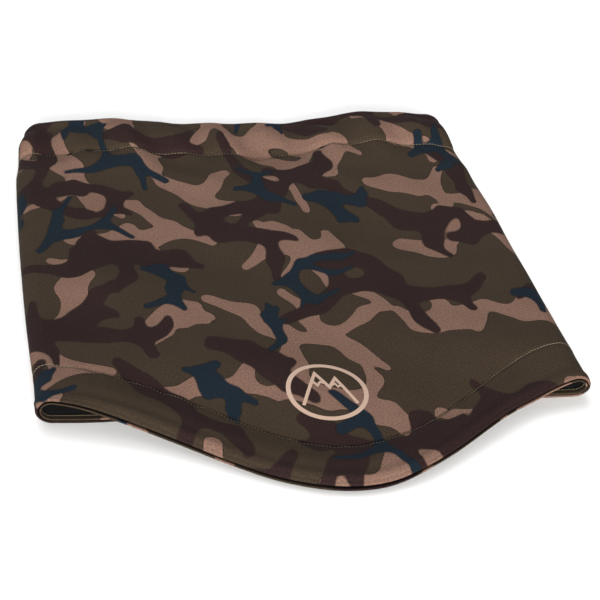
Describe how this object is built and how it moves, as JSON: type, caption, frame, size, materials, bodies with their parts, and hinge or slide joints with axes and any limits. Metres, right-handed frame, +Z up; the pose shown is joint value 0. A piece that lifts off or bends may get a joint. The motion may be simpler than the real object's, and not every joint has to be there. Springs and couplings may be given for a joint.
{
  "type": "neck gaiter",
  "caption": "Fleece-lined camouflage neck gaiter laid flat: a soft tube with topstitched hems and a curved bib at the chest edge.",
  "frame": {"origin": "on the ground under the middle of the laid-flat outline", "axes": "+X across the tube to the viewer's right, +Y along it from the bib to the neck edge, +Z up from the ground"},
  "size_m": [0.31, 0.3749, 0.015],
  "materials": {
    "camo_knit": null,
    "fleece": "dark brushed fleece",
    "thread": "olive polyester sewing thread",
    "seam_thread": "black polyester sewing thread",
    "print": "thin matte screen print"
  },
  "bodies": {
    "root": {"shell_front": "camo_knit", "shell_back": "camo_knit", "lining_front": "fleece", "lining_back": "fleece", "chest_facing_front": "camo_knit", "chest_facing_back": "camo_knit", "neck_facing_front": "camo_knit", "neck_facing_back": "camo_knit", "chest_topstitch_thread": "thread", "neck_topstitch_thread": "thread", "chest_understitch_thread": "thread", "neck_understitch_thread": "thread", "side_seam_thread_left": "seam_thread", "side_seam_thread_right": "seam_thread", "emblem_print": "print"}
  },
  "joints": []
}
